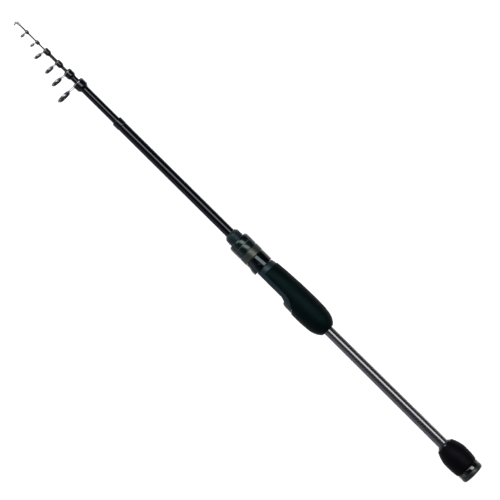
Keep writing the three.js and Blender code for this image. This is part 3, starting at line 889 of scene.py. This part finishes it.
def make_front_grip():
    """The front foam grip, open below where the seat shows."""
    grip, seat = Place("front_grip"), Place("seat_body")
    f, r = grip.front, grip.rear
    swell = swelling([
        *measured(f, (0.4, 12.3), (13, 13.4), (26, 14.1), (40, 14.6)),
        (f + 55 * MM, grip.radius),
        *measured(f, (66, 14.3), (73, 13.35), (78, 11.55), (81.3, 9.45)),
        *measured(r, (-0.5, 7.8)),
    ], 6)
    inner = radius_near("seat_body", seat.rear, MM) + CLEARANCE
    tube = radius_near("butt_blank", grip.rear, 0.3 * MM) + 0.3 * MM
    points = [
        (f, inner),
        *measured(f, (0, 11.7), (0.1, 12.05)),
        *swell,
        *measured(r, (-0.1, 7.3), (0, 6.7)),
        (r, tube),
        (seat.rear + 0.3 * MM, tube),
        (seat.rear + 0.3 * MM, inner),
    ]
    body = turned_object("front_grip_foam", points)
    seam = seam_outline(SEAM_GAP)
    window_front, window_bottom, window_half = f - 3 * MM, -25 * MM, 22 * MM
    outline = [
        (window_front, window_bottom),
        (seam[-1][0], window_bottom),
        *seam[::-1],
        (window_front, seam[0][1]),
    ]
    combine(body, ("DIFFERENCE", outline_block("window", outline, window_half)))
    soften_edges(body, 0.25 * MM, 40)
    piece(body, "handle", ["front_grip"], FRONT_FOAM)


# ---- rear handle

def make_rear_handle():
    """The woven sleeve, the winding check and the rear foam grip."""
    woven, check, grip = Place("woven_sleeve"), Place("rear_grip_check"), Place("rear_grip")
    front_radius = radius_near("woven_sleeve", woven.front, MM)
    inner_front = radius_near("butt_blank", woven.front, 0.3 * MM) + CLEARANCE
    inner_rear = Place("butt_blank").radius + CLEARANCE
    points = [
        (woven.front, inner_front),
        (woven.front, front_radius),
        (woven.rear, woven.radius),
        (woven.rear, inner_rear),
    ]
    turned_piece("handle", "woven_sleeve", WEAVE,
                 "woven_tube", eased(points, 0.1 * MM))

    points = [
        (check.front, inner_rear),
        *measured(check.front, (0, 6.3), (0.4, 6.8), (0.5, 6.6)),
        *measured(check.rear, (-1.2, 7.7)),
        (check.rear, check.radius),
        (check.rear, inner_rear),
    ]
    turned_piece("handle", "rear_grip_check", HOOD_GLOSS,
                 "winding_check", eased(points, 0.2 * MM))

    f, r = grip.front, grip.rear
    socket_hole, socket_depth = Place("cap_socket").radius + 2 * CLEARANCE, 5 * MM
    swell = swelling([
        *measured(f, (0.3, 9.6), (3.8, 11.3), (7.8, 12.65)),
        (f + 12.8 * MM, grip.radius - 0.05 * MM),
        (f + 18 * MM, grip.radius),
        (f + 23 * MM, grip.radius - 0.1 * MM),
        *measured(f, (28.6, 13.1)),
        *measured(r, (-0.3, 12.3)),
    ], 7)
    points = [
        (f, inner_rear),
        *measured(f, (0, 9.1), (0.06, 9.35)),
        *swell,
        *measured(r, (-0.05, 12.05), (0, 11.75)),
        (r, socket_hole),
        (r - socket_depth, socket_hole),
        (r - socket_depth, inner_rear),
    ]
    turned_piece("handle", "rear_grip", REAR_FOAM,
                 "rear_grip_foam", points)


def make_butt_cap():
    """The hollow butt cap and the gloss ring on its front ledge."""
    cap, trim = Place("butt_cap"), Place("cap_trim_ring")
    bore = Place("cap_socket").radius + 0.15 * MM
    ledge = radius_near("butt_cap", cap.front, 0.3 * MM)
    floor = cap.rear - 2.6 * MM
    points = [
        (floor, 0),
        (floor, bore),
        (cap.front, bore),
        (cap.front, ledge),
        (trim.rear + 0.15 * MM, ledge),
        (trim.rear + 0.45 * MM, cap.radius),
        (cap.rear - 2 * MM, cap.radius),
        (cap.rear - 0.6 * MM, cap.radius - 0.6 * MM),
        (cap.rear, cap.radius - 2 * MM),
        *measured(cap.rear, (0, 8.2), (-0.35, 7.9), (-0.35, 7.5), (0, 7.2)),
        (cap.rear, 0),
    ]
    turned_piece("cap", "butt_cap", CAP_METAL,
                 "butt_cap_shell", eased(points, 0.3 * MM, 4))

    inner = ledge + CLEARANCE
    points = [
        (trim.front, inner),
        (trim.front, trim.radius - 0.3 * MM),
        (trim.front + 0.4 * MM, trim.radius),
        (trim.rear - 0.3 * MM, trim.radius),
        (trim.rear, trim.radius - 0.2 * MM),
        (trim.rear, inner),
    ]
    turned_piece("cap", "cap_trim_ring", RING_GLOSS,
                 "cap_gloss_ring", eased(points, 0.2 * MM))


# ---- guides

class Guide:
    """The places of one guide, read from its CAD nodes."""

    def __init__(self, number):
        self.name = f"guide_{number}"
        hoop = cad_rings(f"{self.name}_frame", lambda p: p.y > 0.01 * MM)
        self.hoop_front, self.hoop_rear = min(x for x, r in hoop), max(x for x, r in hoop)
        self.hoop_inner, self.hoop_outer = min(r for x, r in hoop), max(r for x, r in hoop)
        self.hoop = (self.hoop_front + self.hoop_rear) / 2
        ring, steel = Place(f"{self.name}_ring"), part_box(f"{self.name}_frame")
        self.ring, self.drop = ring.middle.x, -ring.middle.y
        self.outer = (steel[1][2] - steel[0][2]) / 2
        self.outer = min(self.outer, -steel[0][1] - self.drop + 0.1 * MM)
        self.lean = math.atan2(self.ring - self.hoop, self.drop)
        self.holder_shift = -self.outer * 0.04  # the ring stands out more on the butt side
        self.sleeve = Place(f"{self.name}_sleeve")
        self.bore = least_radius(f"{self.name}_sleeve")

    def ring_place(self):
        return Matrix.Translation((self.ring, -self.drop, 0)) @ Matrix.Rotation(self.lean, 4, "Z")


def make_guide_sleeve(guide, body):
    """The black sleeve, with a slot that the steel hoop sits in."""
    s = guide.sleeve
    slot_front, slot_rear = guide.hoop_front - CLEARANCE, guide.hoop_rear + CLEARANCE
    slot_floor = guide.hoop_inner - CLEARANCE
    lip = min(0.35 * MM, (slot_front - s.front) * 0.4)
    points = [
        (s.front, guide.bore),
        (s.front, s.radius - 0.4 * MM),
        (s.front + lip, s.radius - 0.12 * MM),
        (slot_front, s.radius - 0.1 * MM),
        (slot_front, slot_floor),
        (slot_rear, slot_floor),
        (slot_rear, s.radius - 0.03 * MM),
        (slot_rear + 0.3 * MM, s.radius),
        (slot_rear + (s.rear - slot_rear) * 0.66, s.radius),
        (s.rear - 0.4 * MM, guide.bore + 0.4 * MM),
        (s.rear, guide.bore + 0.12 * MM),
        (s.rear, guide.bore),
    ]
    turned_piece(body, f"{guide.name}_sleeve", WRAP,
                 f"{guide.name}_whipping", eased(points, 0.3 * MM, 4), FINE)


def bowed(start, end, bow, steps):
    """Points from start to end, moved by bow halfway."""
    return [start.lerp(end, k / steps) + bow * math.sin(math.pi * k / steps)
            for k in range(steps + 1)]


def leg_path(guide, side):
    """A leg from the hoop's side down to the ring holder's shoulder, bowed a little outwards."""
    top = (guide.hoop_inner + guide.hoop_outer) / 2
    foot_side = guide.outer * 0.72
    top_side = min(top * 0.92, foot_side)
    start = Vector((guide.hoop, -math.sqrt(top * top - top_side * top_side), side * top_side))
    foot_rise = math.sqrt((guide.outer * 0.94) ** 2 - foot_side ** 2)
    end = guide.ring_place() @ Vector((guide.holder_shift, foot_rise, side * foot_side))
    return bowed(start, end, Vector((0, 0, side * (end - start).length * 0.06)), 10)


def make_guide_frame(guide, body):
    """The steel: a hoop round the sleeve, two legs and the holder round the ring."""
    wire = 0.25 * MM + guide.outer * 0.03
    half = 0.32 * MM + guide.outer * 0.06
    front, rear = guide.holder_shift - half, guide.holder_shift + half
    edge = 0.12 * MM
    hoop = band_outline(guide.hoop_front, guide.hoop_rear, guide.hoop_inner, guide.hoop_outer)
    hoop = eased(hoop, edge * 2)
    holder = eased([
        (front, guide.outer * 0.9),
        (front, guide.outer - edge),
        (front + edge * 2, guide.outer),
        (rear - edge * 2, guide.outer),
        (rear, guide.outer - edge),
        (rear, guide.outer * 0.9),
        (guide.holder_shift, guide.outer * HOLDER_INNER_SHARE),
    ], edge)

    def build(bm):
        lathe(bm, hoop, FINE)
        lathe(bm, holder, FINE, guide.ring_place())
        for side in (-1, 1):
            path = leg_path(guide, side)
            flare = [abs(2 * k / (len(path) - 1) - 1) ** 3 for k in range(len(path))]
            sweep(bm, path, [(wire * (1 + 0.5 * f), wire * 0.85) for f in flare])

    steel = new_object(f"{guide.name}_steel", build)
    piece(steel, body, [f"{guide.name}_frame"], STEEL)


def make_guide_ring(guide, body):
    """The rounded hard ring inside the holder."""
    seat = guide.outer * HOLDER_INNER_SHARE * math.cos(math.pi / 16) - 0.02 * MM
    inner = guide.outer * 0.73
    half = 0.65 * MM + guide.outer * 0.13
    points = oval_band((seat + inner) / 2, (seat - inner) / 2, half, 20)
    turned_piece(body, f"{guide.name}_ring", CERAMIC,
                 f"{guide.name}_insert", points, FINE, guide.ring_place())


def make_tip_top():
    """The tip top: its tube, two braces, the holder and the hard ring."""
    insert, section = Place("tip_top_ring"), Place("section_4")
    above = cad_rings("tip_top_frame", lambda p: p.y > 0.3 * MM)
    tube = [(x, r) for x, r in above if r < 1.2 * MM]
    front, rear, radius = min(x for x, r in tube), max(x for x, r in tube), max(r for x, r in tube)
    tip_radius = radius_near("section_4", section.front, MM) + CLEARANCE
    lean, outer, holder_half, brace = 0.35, 2.15 * MM, 0.4 * MM, 0.26 * MM
    place = Matrix.Translation(insert.middle) @ Matrix.Rotation(lean, 4, "Z")
    barrel = eased([
        (front, 0),
        (front, radius - 0.25 * MM),
        (front + 0.3 * MM, radius),
        (rear - 0.2 * MM, radius),
        (rear, radius - 0.15 * MM),
        (rear, tip_radius),
        (section.front - CLEARANCE, tip_radius),
        (section.front - CLEARANCE, 0),
    ], 0.15 * MM)
    holder = eased(band_outline(-holder_half, holder_half, outer * 0.84, outer), 0.15 * MM)

    def build(bm):
        lathe(bm, barrel, 32)
        lathe(bm, holder, FINE, place)
        for side in (-1, 1):
            start = Vector((rear - 1.2 * MM, -radius * 0.5, side * radius * 0.84))
            end = place @ Vector((0, outer * 0.42, side * outer * 0.91))
            path = bowed(start, end, Vector((0, -0.2 * MM, side * 0.25 * MM)), 8)
            sweep(bm, path, [(brace, brace)] * len(path), 12)

    body = new_object("tip_top_steel", build)
    piece(body, "tip_section", ["tip_top_frame"], STEEL)

    points = oval_band(1.43 * MM, 0.24 * MM, 0.55 * MM, 16)
    turned_piece("tip_section", "tip_top_ring", CERAMIC,
                 "tip_top_insert", points, FINE, place)


# ---- carried-over CAD nodes

def dress_cad_nodes():
    """The pieces inside the handle stay as they are, with their own materials."""
    looks = {
        "seat_arbor": RESIN,
        "rear_hood_lining": RUBBER,
        "sliding_hood_lining": RUBBER,
        "cap_socket": GUNMETAL,
        "cap_bumper": RUBBER,
    }
    for node, material in looks.items():
        paint(frame["nodes"][node], material)


# ---- stage, light and camera

VIEW_TURN = math.radians(44.7)  # the rod runs down to the right at this angle
CAMERA_DISTANCE = 2.2
CAMERA_SHARE = 0.6  # where the camera stands along the rod, as a share of its length from the tip
SEEN_SHARE = 0.775  # the picture's width, as a share of the rod's length
TARGET_SHARE = (0.5101, 0.0032)  # the picture's middle from the tip and above the axis, likewise
CLIP_END = 50
FLOOR_DROP = 0.4  # how far the rod hangs above the floor
FLOOR_HALF = 6
HORIZON, OVERHEAD = (0.82, 0.84, 0.88, 1), (0.03, 0.033, 0.045, 1)
WORLD_FADE = 0.3  # the height at which the pale horizon has turned into the dim overhead
WORLD_TILT = 0.35  # how much lower that is towards +Y
STUDIO = Vector((cad_box[0][0] / 2, 0, 0))


def make_camera():
    """Looks down on the rod's side, turned so that the rod runs across the picture."""
    (tip, _, _), (butt, _, _) = cad_box
    length = butt - tip
    target = Vector((tip + length * TARGET_SHARE[0], length * TARGET_SHARE[1], 0))
    place = Vector((tip + length * CAMERA_SHARE, target.y, CAMERA_DISTANCE))
    back = (place - target).normalized()
    along = Vector((0, 1, 0)).cross(back).normalized()
    side = back.cross(along)
    right = along * math.cos(VIEW_TURN) + side * math.sin(VIEW_TURN)
    up = side * math.cos(VIEW_TURN) - along * math.sin(VIEW_TURN)
    data = bpy.data.cameras.new("camera")
    data.lens = data.sensor_width * CAMERA_DISTANCE / (length * SEEN_SHARE)
    data.clip_end = CLIP_END
    camera = bpy.data.objects.new("camera", data)
    facing = Matrix((right, up, back)).transposed().to_4x4()
    camera.matrix_world = Matrix.Translation(place) @ facing
    bpy.context.scene.collection.objects.link(camera)
    bpy.context.scene.camera = camera


def make_floor():
    def build(bm):
        bmesh.ops.create_grid(bm, x_segments=1, y_segments=1, size=FLOOR_HALF)

    floor = new_object("floor", build)
    floor.location.z = cad_box[0][2] - FLOOR_DROP
    m = Nodes("floor_paper")
    grain = m.noise(400, 3)
    m.set(Specular_IOR_Level=0.1)
    colour = m.blend(grain, 0.3, 0.7, (0.89, 0.89, 0.89), (0.91, 0.91, 0.91))
    floor.data.materials.append(m.done(colour, m.range(grain, 0.3, 0.7, 0.85, 0.95)))


def make_world():
    """Pale low down and dim overhead, so that dark gloss stays dark. It is darker towards +Y."""
    world = bpy.data.worlds.new("studio")
    world.use_nodes = True
    tree = world.node_tree
    place = tree.nodes.new("ShaderNodeTexCoord")
    parts = tree.nodes.new("ShaderNodeSeparateXYZ")
    height = tree.nodes.new("ShaderNodeMapRange")
    mix = tree.nodes.new("ShaderNodeMix")
    mix.data_type = "RGBA"
    for key, number in zip(RANGE_KEYS, (0, WORLD_FADE, 0, 1)):
        height.inputs[key].default_value = number
    mix.inputs[6].default_value = HORIZON
    mix.inputs[7].default_value = OVERHEAD
    tilt = tree.nodes.new("ShaderNodeMath")
    tilt.operation = "MULTIPLY_ADD"
    tilt.inputs[1].default_value = WORLD_TILT
    for source, target in (
        (place.outputs["Generated"], parts.inputs[0]),
        (parts.outputs[1], tilt.inputs[0]),
        (parts.outputs[2], tilt.inputs[2]),
        (tilt.outputs[0], height.inputs["Value"]),
        (height.outputs["Result"], mix.inputs[0]),
        (mix.outputs[2], tree.nodes["Background"].inputs["Color"]),
    ):
        tree.links.new(source, target)
    bpy.context.scene.world = world


def over_rod(angle, distance):
    """The way from the studio's middle to a light, at an angle from straight above towards +Y."""
    turn = math.radians(angle)
    return Vector((0, math.sin(turn), math.cos(turn))) * distance


def area_light(name, offset, size, radiance, colour=(1, 1, 1), twist=0):
    """A panel that faces the studio's middle. size is (across, along) the rod.

    twist turns it in its own plane, so that it crosses the rod at that angle."""
    data = bpy.data.lights.new(name, "AREA")
    data.shape = "RECTANGLE"
    data.size, data.size_y = size
    data.energy = radiance * math.pi * size[0] * size[1]
    data.color = colour
    light = bpy.data.objects.new(name, data)
    light.location = STUDIO + offset
    facing = (-offset).to_track_quat("-Z", "X")
    light.rotation_euler = (facing @ Quaternion((0, 0, 1), math.radians(twist))).to_euler()
    bpy.context.scene.collection.objects.link(light)


def make_lights():
    """A strip for the highlight, a soft side light and a panel over the tip's part of the floor."""
    area_light("strip", over_rod(20, 1.7), (0.75, 3), 8, twist=36)
    area_light("soft_side", over_rod(-62, 1.8), (1.9, 3), 0.33, (0.64, 0.79, 1))
    area_light("tip_fill", Vector((-1.9, -0.2, 1.5)), (1.6, 1.6), 4)
    bpy.context.scene.view_settings.view_transform = "Standard"


# ---- assembly

SECTION_BODIES = ("first_section", "second_section", "third_section", "tip_section")
GUIDE_BODIES = {
    1: "first_section",
    2: "second_section",
    3: "float_guide_3",
    4: "third_section",
    5: "float_guide_5",
    6: "float_guide_6",
}

make_blank()
for number, body in enumerate(SECTION_BODIES, 1):
    make_section(number, body)
thread_barrel()
make_seat_body()
make_front_check()
make_nut()
make_sliding_hood()
make_front_grip()
make_rear_handle()
make_butt_cap()
for number, body in GUIDE_BODIES.items():
    guide = Guide(number)
    make_guide_sleeve(guide, body)
    make_guide_frame(guide, body)
    make_guide_ring(guide, body)
make_tip_top()
dress_cad_nodes()
make_floor()
make_camera()
make_world()
make_lights()
